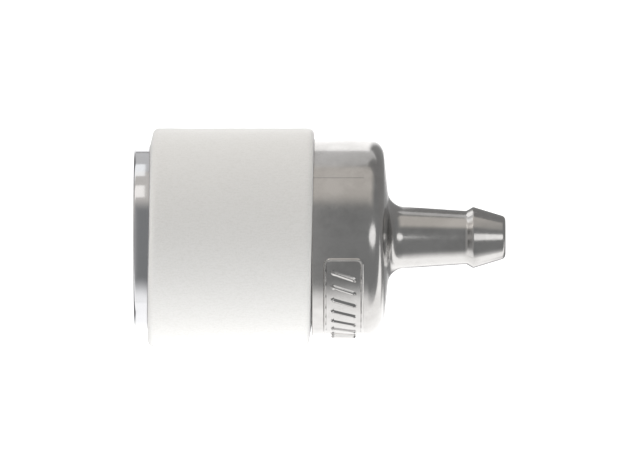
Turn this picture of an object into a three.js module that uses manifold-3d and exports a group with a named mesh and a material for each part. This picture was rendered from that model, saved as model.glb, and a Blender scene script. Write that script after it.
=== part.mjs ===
// In-tank fuel filter for a small engine. A porous sleeve is clamped between a cast outlet head
// with a hose barb and a flat end cap. Inside it a moulded core carries a fine screen, leads the
// clean fuel to the barb and holds the cap by a rivet.
// Millimetres, +Z up. The filter lies on its sleeve, with its axis along +X from the end cap to
// the barb's tip. The origin is on the surface it lies on, under the middle of its length.
// Each piece is drawn upright, with its axis on Z and the cap's outer face at height 0, and the
// group that holds them lays them down.

import * as THREE from 'three';
import { mergeVertices } from 'three/addons/utils/BufferGeometryUtils.js';
import Module from 'manifold-3d';

const wasm = await Module();
wasm.setup();

// Driving dimensions.
const CAP = { radius: 8.0, thickness: 1.4, edge: 0.25, spigotHeight: 1.2 };
const SLEEVE = { radius: 9.5, bore: 6.3, length: 14.0, edge: 0.6 };
const HEAD = { radius: 8.6, shoulderRadius: 1.5, shoulderHeight: 4.8, domeSlope: 5.5 };
const STEM = { rootRadius: 2.75, endRadius: 2.3, rootRise: 0.75, length: 6.75 };
const BARB = { radius: 2.65, tipRadius: 1.8, rampLength: 0.6, coneLength: 2.8, tipEdge: 0.15 };
const BORE_RADIUS = 1.25;
const SEAL = { inner: 6.6, outer: 7.5, thickness: 0.6, sideGap: 0.1 };
const RECESS = { radius: 3.2, depth: 0.85 };
const RIVET = { headRadius: 2.4, flatRadius: 1.2, headHeight: 0.5, shankRadius: 0.75, length: 5.4 };
const WASHER = { radius: 2.9, thickness: 0.2 };
const RIVET_CLEARANCE = 0.05;
const CORE = { radius: 5.7, wall: 0.8, flangeRadius: 6.1, flangeHeight: 0.9, bossRadius: 2.0 };
const WINDOWS = { columns: 6, rows: 3, width: 3.6, post: 0.9, bossGap: 1.0, overcut: 1.0 };
const SCREEN = { gap: 0.05, wall: 0.25 };
const NECK = { radius: 2.8, bore: 1.5, length: 4.9, tipEdge: 0.3, endGap: 0.3 };
const GROOVE = { floorRadius: 2.05, height: 1.1, belowTip: 1.0 };
const SOCKET = { clearance: 0.05, depth: 2.6 };
const CAVITY = { radius: 4.6, depth: 2.6 };
const O_RING_SQUEEZE_GAP = 0.02;

// Raised panel on the head's side: an empty rounded frame with plain slanted ribs in it.
const PANEL = { centreAngle: 235, sweep: 86, height: 3.5, rise: 1.0, corner: 0.6, line: 0.28 };
const RIBS = { count: 8, width: 0.5, height: 1.9, slant: 0.45 };
const RELIEF = { height: 0.18, root: 0.3 };

// Fineness of the round shapes.
const SEGMENTS = 40;
const SMALL_SEGMENTS = 24;
const ARC_STEPS = 3;
const RING_SIDES = 8;
const PANEL_STEP = 0.9;
const MERGE_DISTANCE = 1e-4;

// Heights and radii worked out from the driving dimensions.
const sleeveBottom = CAP.thickness;
const sleeveTop = sleeveBottom + SLEEVE.length;
const coreBottom = sleeveBottom + CAP.spigotHeight;
const headRim = sleeveTop;
const shoulderZ = headRim + HEAD.shoulderHeight;
const neckTop = headRim + NECK.length;
const socketTop = neckTop + NECK.endGap;
const screenBottom = coreBottom + CORE.flangeHeight;
const screenTop = headRim - CORE.flangeHeight;
const domeSlope = THREE.MathUtils.degToRad(HEAD.domeSlope);
const domeEdgeRadius = HEAD.radius - HEAD.shoulderRadius * (1 - Math.sin(domeSlope));
const domeEdgeZ = shoulderZ + HEAD.shoulderRadius * Math.cos(domeSlope);
const flareRadius = STEM.rootRadius + STEM.rootRise;
const flareZ = domeEdgeZ + (domeEdgeRadius - flareRadius) * Math.tan(domeSlope);
const stemZ = flareZ + STEM.rootRise;
const rampZ = flareZ + STEM.length;
const crestZ = rampZ + BARB.rampLength;
const tipZ = crestZ + BARB.coneLength;

// A solid of revolution about Z. It is turned by half a facet, so that a flat and not an edge
// faces each side.
function turned(outline, segments = SEGMENTS) {
  const points = outline.getPoints(ARC_STEPS);
  if (!points[0].equals(points.at(-1))) points.push(points[0].clone());
  if (THREE.ShapeUtils.area(points) < 0) points.reverse();
  const geometry = new THREE.LatheGeometry(points, segments, Math.PI / segments);
  geometry.rotateX(Math.PI / 2);
  return geometry;
}

// An outline of straight steps through [radius, height] corners.
function outlineOf(corners) {
  return new THREE.Path(corners.map(([r, z]) => new THREE.Vector2(r, z)));
}

// A plain ring of rectangular section.
function ring(inner, outer, bottom, top, segments = SEGMENTS) {
  return turned(outlineOf([[inner, bottom], [outer, bottom], [outer, top], [inner, top]]), segments);
}

// A three.js geometry as a solid that can be joined and cut.
function solidOf(geometry) {
  const bare = geometry.clone();
  bare.deleteAttribute('normal');
  bare.deleteAttribute('uv');
  const merged = mergeVertices(bare, MERGE_DISTANCE);
  const vertProperties = new Float32Array(merged.attributes.position.array);
  const triVerts = new Uint32Array(merged.index.array);
  return new wasm.Manifold(new wasm.Mesh({ numProp: 3, vertProperties, triVerts }));
}

// The solid back as a three.js geometry.
function geometryOf(solid) {
  const mesh = solid.getMesh();
  const geometry = new THREE.BufferGeometry();
  geometry.setAttribute('position', new THREE.BufferAttribute(mesh.vertProperties, 3));
  geometry.setIndex(new THREE.BufferAttribute(mesh.triVerts, 1));
  geometry.computeVertexNormals();
  return geometry;
}

// The cap: a disc with a rounded outer edge, a recess for the rivet, a groove for its seal and
// a low spigot that centres the sleeve.
function endCapGeometry() {
  const { radius, thickness, edge } = CAP;
  const outline = outlineOf([
    [RIVET.shankRadius + RIVET_CLEARANCE, coreBottom],
    [RIVET.shankRadius + RIVET_CLEARANCE, RECESS.depth],
    [RECESS.radius, RECESS.depth],
    [RECESS.radius, 0],
  ]);
  outline.lineTo(radius - edge, 0);
  outline.absarc(radius - edge, edge, edge, -Math.PI / 2, 0);
  outline.lineTo(radius, thickness);
  outline.lineTo(SEAL.outer + SEAL.sideGap, thickness);
  outline.lineTo(SEAL.outer + SEAL.sideGap, thickness - SEAL.thickness);
  outline.lineTo(SEAL.inner - SEAL.sideGap, thickness - SEAL.thickness);
  outline.lineTo(SEAL.inner - SEAL.sideGap, thickness);
  outline.lineTo(CORE.flangeRadius, thickness);
  outline.lineTo(CORE.flangeRadius, coreBottom);
  return turned(outline);
}

// The sleeve: a thick tube with its two outer edges rounded. Its flats lie at the true radius.
function sleeveGeometry() {
  const { bore, edge } = SLEEVE;
  const radius = SLEEVE.radius / Math.cos(Math.PI / SEGMENTS);
  const outline = outlineOf([[bore, sleeveBottom]]);
  outline.lineTo(radius - edge, sleeveBottom);
  outline.absarc(radius - edge, sleeveBottom + edge, edge, -Math.PI / 2, 0);
  outline.absarc(radius - edge, sleeveTop - edge, edge, 0, Math.PI / 2);
  outline.lineTo(bore, sleeveTop);
  return turned(outline);
}

// The head's casting before its panel: rim, rounded shoulder, shallow dome, stem and barb outside;
// bore, neck socket, cored cavity and seal groove inside.
function headCasting() {
  const { radius, shoulderRadius } = HEAD;
  const socketR = NECK.radius + SOCKET.clearance;
  const socketFloor = socketTop - SOCKET.depth;

  const outline = new THREE.Path();
  outline.moveTo(radius, headRim);
  outline.lineTo(radius, shoulderZ);
  outline.absarc(radius - shoulderRadius, shoulderZ, shoulderRadius, 0, Math.PI / 2 - domeSlope);
  outline.lineTo(flareRadius, flareZ);
  outline.quadraticCurveTo(STEM.rootRadius, flareZ, STEM.rootRadius, stemZ);
  outline.lineTo(STEM.endRadius, rampZ);
  outline.lineTo(BARB.radius, crestZ);
  outline.lineTo(BARB.tipRadius, tipZ - BARB.tipEdge);
  outline.lineTo(BARB.tipRadius - BARB.tipEdge, tipZ);
  outline.lineTo(BORE_RADIUS, tipZ);
  outline.lineTo(BORE_RADIUS, socketTop);
  outline.lineTo(socketR, socketTop);
  outline.lineTo(socketR, socketFloor);
  outline.lineTo(CAVITY.radius, headRim + CAVITY.depth);
  outline.lineTo(CAVITY.radius, headRim);
  outline.lineTo(SEAL.inner - SEAL.sideGap, headRim);
  outline.lineTo(SEAL.inner - SEAL.sideGap, headRim + SEAL.thickness);
  outline.lineTo(SEAL.outer + SEAL.sideGap, headRim + SEAL.thickness);
  outline.lineTo(SEAL.outer + SEAL.sideGap, headRim);
  return turned(outline);
}

// Points along a closed outline, with long straight sides cut into steps so that they can bend.
function stepped(path) {
  const corners = path.getPoints(ARC_STEPS);
  const points = [];
  corners.forEach((corner, i) => {
    const next = corners[(i + 1) % corners.length];
    const steps = Math.max(1, Math.ceil(corner.distanceTo(next) / PANEL_STEP));
    for (let s = 0; s < steps && !corner.equals(next); s += 1) {
      points.push(corner.clone().lerp(next, s / steps));
    }
  });
  return points;
}

// A rectangle with round corners, centred on the origin.
function roundedRectangle(halfWidth, halfHeight, corner) {
  const path = new THREE.Path();
  path.absarc(halfWidth - corner, halfHeight - corner, corner, 0, Math.PI / 2);
  path.absarc(corner - halfWidth, halfHeight - corner, corner, Math.PI / 2, Math.PI);
  path.absarc(corner - halfWidth, corner - halfHeight, corner, Math.PI, 1.5 * Math.PI);
  path.absarc(halfWidth - corner, corner - halfHeight, corner, 1.5 * Math.PI, 2 * Math.PI);
  return path;
}

// A flat shape, drawn in millimetres round the head and up it, wrapped on the head's side.
function wrappedOnHead(shape) {
  const depth = RELIEF.root + RELIEF.height;
  const geometry = new THREE.ExtrudeGeometry(shape, { depth, bevelEnabled: false, steps: 1 });
  const centreZ = headRim + PANEL.rise + PANEL.height / 2;
  const centreAngle = THREE.MathUtils.degToRad(PANEL.centreAngle);
  const position = geometry.attributes.position;
  for (let i = 0; i < position.count; i += 1) {
    const angle = centreAngle + position.getX(i) / HEAD.radius;
    const r = HEAD.radius - RELIEF.root + position.getZ(i);
    position.setXYZ(i, r * Math.cos(angle), r * Math.sin(angle), centreZ + position.getY(i));
  }
  return geometry;
}

// The outlet head: the casting with the panel's frame and its slanted ribs raised on its side.
function outletHeadGeometry() {
  const halfWidth = (HEAD.radius * THREE.MathUtils.degToRad(PANEL.sweep)) / 2;
  const halfHeight = PANEL.height / 2;
  const { corner, line } = PANEL;
  const frame = new THREE.Shape(stepped(roundedRectangle(halfWidth, halfHeight, corner)));
  const inside = roundedRectangle(halfWidth - line, halfHeight - line, corner - line);
  frame.holes.push(new THREE.Path(stepped(inside).reverse()));
  let head = solidOf(headCasting()).add(solidOf(wrappedOnHead(frame)));

  const pitch = (2 * (halfWidth - line)) / (RIBS.count + 1);
  for (let i = 0; i < RIBS.count; i += 1) {
    const x = pitch * (i + 1) - (halfWidth - line);
    const rib = new THREE.Shape([
      new THREE.Vector2(x - RIBS.slant - RIBS.width / 2, -RIBS.height / 2),
      new THREE.Vector2(x - RIBS.slant + RIBS.width / 2, -RIBS.height / 2),
      new THREE.Vector2(x + RIBS.slant + RIBS.width / 2, RIBS.height / 2),
      new THREE.Vector2(x + RIBS.slant - RIBS.width / 2, RIBS.height / 2),
    ]);
    head = head.add(solidOf(wrappedOnHead(rib)));
  }
  return geometryOf(head);
}

// The core: a cage between two flanges, with a blind boss for the rivet at its foot and a hollow
// neck with an O-ring groove at its top.
function supportCoreGeometry() {
  const inner = CORE.radius - CORE.wall;
  const floorTop = coreBottom + CORE.flangeHeight;
  const roofBottom = headRim - CORE.flangeHeight;
  const holeR = RIVET.shankRadius + RIVET_CLEARANCE;
  const holeTop = RECESS.depth + RIVET.length + RIVET_CLEARANCE;
  const grooveTop = neckTop - GROOVE.belowTip;
  const grooveBottom = grooveTop - GROOVE.height;
  const body = turned(outlineOf([
    [0, holeTop],
    [holeR, holeTop],
    [holeR, coreBottom],
    [CORE.flangeRadius, coreBottom],
    [CORE.flangeRadius, floorTop],
    [CORE.radius, floorTop],
    [CORE.radius, roofBottom],
    [CORE.flangeRadius, roofBottom],
    [CORE.flangeRadius, headRim],
    [NECK.radius, headRim],
    [NECK.radius, grooveBottom],
    [GROOVE.floorRadius, grooveBottom],
    [GROOVE.floorRadius, grooveTop],
    [NECK.radius, grooveTop],
    [NECK.radius, neckTop - NECK.tipEdge],
    [NECK.radius - NECK.tipEdge, neckTop],
    [NECK.bore, neckTop],
    [NECK.bore, roofBottom],
    [inner, roofBottom],
    [inner, floorTop],
    [CORE.bossRadius, floorTop],
    [CORE.bossRadius, holeTop + CORE.wall],
    [0, holeTop + CORE.wall],
  ]));

  const span = roofBottom - floorTop - WINDOWS.post * (WINDOWS.rows + 1);
  const height = span / WINDOWS.rows;
  const from = CORE.bossRadius + WINDOWS.bossGap;
  const reach = CORE.radius + WINDOWS.overcut - from;
  let core = solidOf(body);
  for (let row = 0; row < WINDOWS.rows; row += 1) {
    const z = floorTop + WINDOWS.post * (row + 1) + height * (row + 0.5);
    for (let column = 0; column < WINDOWS.columns; column += 1) {
      const window = new THREE.BoxGeometry(reach, WINDOWS.width, height);
      window.translate(from + reach / 2, 0, z);
      window.rotateZ((2 * Math.PI * (column + 0.5)) / WINDOWS.columns);
      core = core.subtract(solidOf(window));
    }
  }
  return geometryOf(core);
}

// The rivet: a low head with a rounded edge in the cap's recess and a shank up into the core's boss.
function rivetGeometry() {
  const headTop = RECESS.depth - WASHER.thickness;
  const headBottom = headTop - RIVET.headHeight;
  const outline = outlineOf([[0, headBottom]]);
  outline.lineTo(RIVET.flatRadius, headBottom);
  outline.quadraticCurveTo(RIVET.headRadius, headBottom, RIVET.headRadius, headTop);
  outline.lineTo(RIVET.shankRadius, headTop);
  outline.lineTo(RIVET.shankRadius, RECESS.depth + RIVET.length);
  outline.lineTo(0, RECESS.depth + RIVET.length);
  return turned(outline, SMALL_SEGMENTS);
}

// The O-ring in the neck's groove.
function oRingGeometry() {
  const outer = NECK.radius + SOCKET.clearance - O_RING_SQUEEZE_GAP;
  const inner = GROOVE.floorRadius + O_RING_SQUEEZE_GAP;
  const tube = (outer - inner) / 2;
  const geometry = new THREE.TorusGeometry(inner + tube, tube, RING_SIDES, SEGMENTS);
  geometry.rotateZ(Math.PI / SEGMENTS);
  geometry.translate(0, 0, neckTop - GROOVE.belowTip - GROOVE.height / 2);
  return geometry;
}

const materials = {
  plating: { color: 0xa3a09c, roughness: 0.3, metalness: 1.0 },
  steel: { color: 0xb4b5b6, roughness: 0.2, metalness: 1.0 },
  porous: { color: 0xf1f0ec, roughness: 0.95, metalness: 0.0 },
  acetal: { color: 0xe4e2da, roughness: 0.45, metalness: 0.0 },
  nylon: { color: 0xdfe3e2, roughness: 0.6, metalness: 0.0 },
  rubber: { color: 0x1d1d1e, roughness: 0.7, metalness: 0.0 },
};

const screenInner = CORE.radius + SCREEN.gap;
const washerBottom = RECESS.depth - WASHER.thickness;
const rivetHole = RIVET.shankRadius + RIVET_CLEARANCE;
const pieces = [
  ['outlet_head', outletHeadGeometry(), 'plating'],
  ['head_seal_ring', ring(SEAL.inner, SEAL.outer, headRim, headRim + SEAL.thickness), 'rubber'],
  ['filter_sleeve', sleeveGeometry(), 'porous'],
  ['inner_screen', ring(screenInner, screenInner + SCREEN.wall, screenBottom, screenTop), 'nylon'],
  ['support_core', supportCoreGeometry(), 'acetal'],
  ['core_o_ring', oRingGeometry(), 'rubber'],
  ['cap_seal_ring', ring(SEAL.inner, SEAL.outer, CAP.thickness - SEAL.thickness, CAP.thickness), 'rubber'],
  ['end_cap', endCapGeometry(), 'steel'],
  ['rivet_washer', ring(rivetHole, WASHER.radius, washerBottom, RECESS.depth, SMALL_SEGMENTS), 'steel'],
  ['cap_rivet', rivetGeometry(), 'steel'],
];

const upright = new THREE.Group();
for (const [name, geometry, material] of pieces) {
  const mesh = new THREE.Mesh(geometry, new THREE.MeshStandardMaterial(materials[material]));
  mesh.name = name;
  upright.add(mesh);
}
upright.rotation.y = Math.PI / 2;
upright.position.set(-tipZ / 2, 0, SLEEVE.radius);

const fuelFilter = new THREE.Group();
fuelFilter.add(upright);

export default fuelFilter;
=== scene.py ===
"""Visual model of an in-tank fuel filter for a small engine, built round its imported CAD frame.

Each piece is drawn upright in millimetres, with its axis on Z and the end cap's outer face at
height 0, and is then laid down along X, as the frame has it.
"""

import math

import bmesh
import bpy
from mathutils import Matrix, Vector, noise


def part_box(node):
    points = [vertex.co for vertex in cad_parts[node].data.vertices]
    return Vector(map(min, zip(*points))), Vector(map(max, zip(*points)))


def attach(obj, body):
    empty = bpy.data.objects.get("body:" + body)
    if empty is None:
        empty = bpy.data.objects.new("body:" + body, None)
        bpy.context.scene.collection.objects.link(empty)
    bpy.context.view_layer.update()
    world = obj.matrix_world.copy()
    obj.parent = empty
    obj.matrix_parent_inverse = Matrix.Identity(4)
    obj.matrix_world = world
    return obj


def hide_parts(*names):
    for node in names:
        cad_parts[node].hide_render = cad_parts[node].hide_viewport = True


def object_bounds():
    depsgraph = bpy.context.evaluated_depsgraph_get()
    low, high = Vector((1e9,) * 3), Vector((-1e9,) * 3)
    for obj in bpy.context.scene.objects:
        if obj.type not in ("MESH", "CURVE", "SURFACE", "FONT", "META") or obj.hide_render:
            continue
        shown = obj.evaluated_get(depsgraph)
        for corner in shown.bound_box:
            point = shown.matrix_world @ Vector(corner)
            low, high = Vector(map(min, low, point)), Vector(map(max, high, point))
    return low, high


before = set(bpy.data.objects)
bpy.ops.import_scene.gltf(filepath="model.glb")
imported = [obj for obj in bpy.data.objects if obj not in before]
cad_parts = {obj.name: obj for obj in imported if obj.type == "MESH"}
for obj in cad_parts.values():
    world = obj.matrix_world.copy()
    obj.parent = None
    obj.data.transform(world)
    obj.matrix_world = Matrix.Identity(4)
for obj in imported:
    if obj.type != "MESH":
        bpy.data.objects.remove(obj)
CAD_LOW, CAD_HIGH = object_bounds()

bl_info = {
    "name": "In-Tank Fuel Filter",
    "version": (1, 0, 0),
    "blender": (4, 5, 0),
    "location": "View3D > Sidebar > Fuel Filter",
    "description": "Builds a small engine's in-tank fuel filter piece by piece, with its stage",
    "category": "Add Mesh",
}

BODY = "root"
MM = 0.001

# Where the end cap's outer face and the filter's axis lie in the frame, in metres.
CAP_X = CAD_LOW.x
AXIS_Z = (CAD_LOW.z + CAD_HIGH.z) / 2


def station(x):
    """A place along the frame's X axis as a height on the upright filter, in millimetres."""
    return (x - CAP_X) / MM


def span(node):
    """The lowest and highest station of a CAD node."""
    low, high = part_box(node)
    return station(low.x), station(high.x)


# Stations along the filter's axis, in millimetres from the end cap's outer face.
SLEEVE_BOTTOM, SLEEVE_TOP = span("filter_sleeve")
HEAD_RIM, BARB_TIP = span("outlet_head")
CORE_BOTTOM, NECK_TOP = span("support_core")
SCREEN_BOTTOM, SCREEN_TOP = span("inner_screen")
WASHER_BOTTOM, WASHER_TOP = span("rivet_washer")
RIVET_BOTTOM, RIVET_TOP = span("cap_rivet")
O_RING_BOTTOM, O_RING_TOP = span("core_o_ring")
CAP_SEAL_BOTTOM, CAP_SEAL_TOP = span("cap_seal_ring")
HEAD_SEAL_BOTTOM, HEAD_SEAL_TOP = span("head_seal_ring")

LAID_DOWN = (
    Matrix.Translation((CAP_X, 0, AXIS_Z)) @ Matrix.Rotation(math.pi / 2, 4, "Y") @ Matrix.Scale(MM, 4)
)

# Fineness of the shapes.
TURN_STEPS = 192
SMALL_TURN_STEPS = 96
ROUNDING_STEPS = 8
SHARP_ANGLE = math.radians(32)
SLEEVE_STEPS = 288
SLEEVE_ROWS = 80
PANEL_STEPS = 48
PLATE_CORNER_STEPS = 5
CROWN_STEPS = 3
CORE_STEPS = 120
SCREEN_STEPS = 72
SCREEN_ROWS = 22
FLOOR_CELLS = 4
O_RING_STEPS = 24
MERGE_DISTANCE = 1e-5

# Gaps in millimetres: a running gap, and the one inside and outside the O-ring.
CLEARANCE = 0.05
GROOVE_GAP = 0.02

# Roundings in millimetres: those that several edges share, from fine to soft, then those of one edge.
FINE_EDGE = 0.05
THIN_EDGE = 0.08
EDGE = 0.1
EASED_EDGE = 0.12
BROAD_EDGE = 0.15
SOFT_EDGE = 0.2
TIP_ROUNDING = 0.3
WASHER_EDGE = 0.03
RIVET_RIM = 0.04
RIVET_CROWN = 0.42

# A face of the core counts as its cage's wall from this share of the inner radius outwards.
WALL_SHARE = 0.98

# The hollow under the head's dome, and the room past the core's neck, in millimetres.
CAVITY_RADIUS = 4.6
CAVITY_DEPTH = 2.6
CAVITY_ROUNDING = 0.4
NECK_ROOM = 0.3

# Raised lines on the head: how deep they are rooted in it in millimetres, and shares of their
# flank or width.
RELIEF_ROOT = 0.12
CROWN_SHARE = 0.2
RIB_CORNER_SHARE = 0.45
SEAM_CORNER_SHARE = 0.1
SEAM_FLANK_SHARE = 0.07

# The sleeve's uneven surface: waves in a millimetre, and how strong the shorter waves are.
LONG_WAVES = 0.3
SHORT_WAVES = 1.1
SHORT_SHARE = 0.5

# Lamps: distances and sizes in metres, the key lamp's tilt from upright in radians, and how far past
# the cap's face the strips are aimed.
FAR_LAMP = 0.25
NEAR_LAMP = 0.05
KEY_TILT = 0.64
KEY_LEAN = 0.03
KEY_SIZE = (0.1, 0.2)
FILL_SIZE = (0.25, 0.25)
STRIP_LENGTH = 0.044
STRIP_SHIFT = 0.02

# The nearest thing that the camera sees, in metres.
CLIP_START = 0.01

# The floor as the filter mirrors it, with a painted pool of light, a painted shadow band where the pool
# ends, painted shadows under the stem and past the barb's tip, and painted shade past the cap. Each
# pair is where an area fades in or out, in metres along X or Y. Beside the cap the painted pool ends
# nearer, by the given shift.
POOL_END_Y = (0.03, 0.04)
BESIDE_CAP_X = (-0.012, -0.008)
BESIDE_CAP_SHIFT = 0.0114
PAST_HEAD_X = (0.006, 0.009)
STEM_NEAR_Y = (-0.009, -0.006)
STEM_FAR_Y = (0.024, 0.032)
PAST_TIP_X = (0.018, 0.022)
TIP_NEAR_Y = (-0.018, -0.011)
PAST_CAP_X = (-0.026, -0.018)
CAP_SIDES_Y = (0.04, 0.07)

# The room as the filter mirrors it, by how far a ray leans along X or Y. The near half's light turns
# a little about X towards the barb, in radians, and the room darkens past it. The far wall is warm,
# and a share of its light lies past the cap as haze.
NEAR_HALF = (-0.3, 0)
TURN_FADE = (0, 0.3)
TURN = 0.24
RIGHT_FADE = (0.34, 0.72)
SEEN_GLOW = 1.1
DARK_TINT = (0.98, 1.0, 1.01)
FAR_TINT = (1.02, 0.98, 0.93)
HAZE_SHARE = 0.6


def mm(length):
    """A length in metres as millimetres."""
    return length / MM


def length(name, description, millimetres):
    """A length property whose default is given in millimetres."""
    return bpy.props.FloatProperty(
        name=name,
        description=description,
        default=millimetres * MM,
        min=0.0,
        precision=5,
        unit="LENGTH",
    )


def angle(name, description, degrees):
    """An angle property whose default is given in degrees."""
    return bpy.props.FloatProperty(
        name=name,
        description=description,
        default=math.radians(degrees),
        subtype="ANGLE",
        unit="ROTATION",
    )


def colour(name, description, red, green, blue):
    """A colour property."""
    return bpy.props.FloatVectorProperty(
        name=name,
        description=description,
        default=(red, green, blue),
        min=0.0,
        max=1.0,
        size=3,
        subtype="COLOR",
    )


def amount(name, description, value, most=10.0):
    """A plain number property."""
    return bpy.props.FloatProperty(name=name, description=description, default=value, min=0.0, max=most)


def count(name, description, value):
    """A whole number property."""
    return bpy.props.IntProperty(name=name, description=description, default=value, min=1)


class FUELFILTER_PG_head(bpy.types.PropertyGroup):
    """Sizes and finish of the cast outlet head."""

    radius: length("Bell Radius", "Outer radius of the bell", 8.6)
    shoulder_height: length("Shoulder Height", "From the rim to where the shoulder starts", 4.8)
    shoulder_radius: length("Shoulder Radius", "Radius of the rounded shoulder", 1.5)
    dome_slope: angle("Dome Slope", "Rise of the dome towards the stem", 5.5)
    stem_root: length("Stem Root Radius", "Radius of the stem above its flare", 2.75)
    stem_end: length("Stem End Radius", "Radius of the stem below the barb", 2.3)
    stem_flare: length("Stem Flare", "Size of the fillet at the stem's root", 1.2)
    crest_radius: length("Barb Crest Radius", "Largest radius of the barb", 2.65)
    ramp_length: length("Barb Ramp", "From the stem's end to the crest", 0.6)
    cone_length: length("Barb Cone", "From the crest to the tip", 2.8)
    tip_radius: length("Tip Radius", "Radius of the barb's tip", 1.8)
    bore_radius: length("Bore Radius", "Radius of the bore through the barb", 1.25)
    seam: angle("Parting Line", "Where the die's parting line lies round the head", 142.0)
    seam_length: length("Parting Line Length", "From the rim along the head's side", 4.5)
    seam_width: length("Parting Line Width", "Width of the step at the parting line", 0.4)
    seam_relief: length("Parting Line Relief", "Height of the step at the parting line", 0.021)
    plating: colour("Plating", "Colour of the satin plating", 0.47, 0.46, 0.45)
    shade: colour("Plating Shade", "Colour of its duller patches", 0.42, 0.41, 0.4)
    roughness: amount("Roughness", "Mean roughness of the plating", 0.17, 1.0)


class FUELFILTER_PG_panel(bpy.types.PropertyGroup):
    """Sizes of the raised panel on the head's side."""

    centre: angle("Centre", "Where the panel's middle lies round the head", 235.0)
    sweep: angle("Sweep", "How far the panel reaches round the head", 86.0)
    height: length("Height", "Height of the panel along the axis", 3.5)
    rise: length("Rise", "From the head's rim to the panel", 1.0)
    corner: length("Corner", "Radius of the frame's corners", 0.6)
    line: length("Line", "Width of the frame's line", 0.28)
    relief: length("Relief", "How far the frame and the ribs stand out", 0.13)
    flank: length("Flank", "Width of the sloping flanks", 0.1)
    ribs: count("Ribs", "Number of plain slanted ribs", 8)
    rib_width: length("Rib Width", "Width of a rib", 0.5)
    rib_height: length("Rib Height", "Height of a rib", 2.2)
    rib_flank: length("Rib Flank", "Width of a rib's sloping flanks", 0.2)
    rib_slant: length("Rib Slant", "How far a rib's end leans from its middle", 0.4)


class FUELFILTER_PG_sleeve(bpy.types.PropertyGroup):
    """Sizes and finish of the porous sleeve."""

    bore: length("Bore Radius", "Inner radius of the sleeve", 6.3)
    edge: length("Edge", "Rounding of the outer edges", 0.55)
    lean: angle("Lean", "How far the ends are from square", 1.4)
    swell: length("Swell", "Depth of the low waves in its surface", 0.02)
    tint: colour("Colour", "Colour of the fibres", 0.88, 0.87, 0.85)
    shade: colour("Shade", "Colour between the fibres", 0.82, 0.81, 0.785)


class FUELFILTER_PG_cap(bpy.types.PropertyGroup):
    """Sizes and finish of the end cap and its rivet."""

    radius: length("Radius", "Outer radius of the cap", 8.0)
    edge: length("Edge", "Rounding of the outer edge", 0.22)
    spigot: length("Spigot Radius", "Radius of the spigot inside the sleeve", 6.1)
    recess: length("Recess Radius", "Radius of the rivet's recess", 3.2)
    rivet_head: length("Rivet Head Radius", "Radius of the rivet's head", 2.4)
    rivet_shank: length("Rivet Shank Radius", "Radius of the rivet's shank", 0.75)
    washer: length("Washer Radius", "Outer radius of the washer", 2.9)
    polish: colour("Polish", "Colour of the polished plating", 0.52, 0.52, 0.53)


class FUELFILTER_PG_seals(bpy.types.PropertyGroup):
    """Sizes of the seals."""

    inner: length("Inner Radius", "Inner radius of the two flat rings", 6.6)
    outer: length("Outer Radius", "Outer radius of the two flat rings", 7.5)
    o_ring_inner: length("O-Ring Inner Radius", "Inner radius of the O-ring", 2.07)
    o_ring_outer: length("O-Ring Outer Radius", "Outer radius of the O-ring", 2.83)


class FUELFILTER_PG_core(bpy.types.PropertyGroup):
    """Sizes and colours of the core and its screen."""

    radius: length("Radius", "Outer radius of the cage", 5.7)
    wall: length("Wall", "Thickness of the cage's wall", 0.8)
    flange_radius: length("Flange Radius", "Radius of the two flanges", 6.1)
    boss_radius: length("Boss Radius", "Radius of the boss for the rivet", 2.0)
    rows: count("Rows", "Rows of windows", 3)
    columns: count("Columns", "Windows in a row", 6)
    window_width: length("Window Width", "Width of a window", 3.6)
    post: length("Post", "Height of the rings between the windows", 0.9)
    neck_radius: length("Neck Radius", "Outer radius of the neck", 2.8)
    neck_bore: length("Neck Bore", "Inner radius of the neck", 1.5)
    neck_lead: length("Neck Lead-In", "Size of the neck's lead-in chamfer", 0.3)
    groove_height: length("Groove Height", "Height of the O-ring's groove", 1.1)
    screen_gap: length("Screen Gap", "From the cage to the screen", 0.05)
    wire: length("Wire", "Thickness of the screen's wires", 0.12)
    acetal: colour("Acetal", "Colour of the core", 0.86, 0.85, 0.81)
    nylon: colour("Nylon", "Colour of the screen", 0.84, 0.86, 0.86)


class FUELFILTER_PG_stage(bpy.types.PropertyGroup):
    """Floor, room, lamps and camera."""

    floor_size: length("Floor Size", "Side of the floor", 3000.0)
    floor_tint: colour("Floor Colour", "Colour of the floor", 0.9, 0.9, 0.9)
    floor_glow: amount("Floor Glow", "Light given by the lit floor", 0.7)
    pool_glow: amount("Pool Glow", "Light of the floor's lit pool, as the filter sees it", 1.8)
    dark_glow: amount("Dark Glow", "Light of the dark side of the room, over the filter", 0.34)
    far_glow: amount("Far Glow", "Light of the far wall", 0.88)
    near_glow: amount("Near Glow", "Light of the near wall, which is a soft lamp", 1.6)
    left_glow: amount("Left Glow", "Light of the wall past the cap", 0.6)
    side_glow: amount("Side Fill Glow", "Light of the two side lamps, which isn't mirrored", 0.52)
    near_fill_glow: amount("Near Fill Glow", "Light of the near lamp, which isn't mirrored", 0.7)
    far_fill_glow: amount("Far Fill Glow", "Light of the far lamp, which isn't mirrored", 0.35)
    key_glow: amount("Key Glow", "Light of the key lamp", 1.35)
    camera_distance: length("Camera Distance", "From the camera to the filter's axis", 1500.0)
    lens: amount("Lens", "Focal length in millimetres", 200.0, 1000.0)
    view_width: length("View Width", "Width of the view at the filter's axis", 54.2)
    offset_x: length("Camera Offset X", "From the camera back to the origin along X", 0.63)
    offset_y: length("Camera Offset Y", "From the origin to the camera along Y", 0.3)


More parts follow.
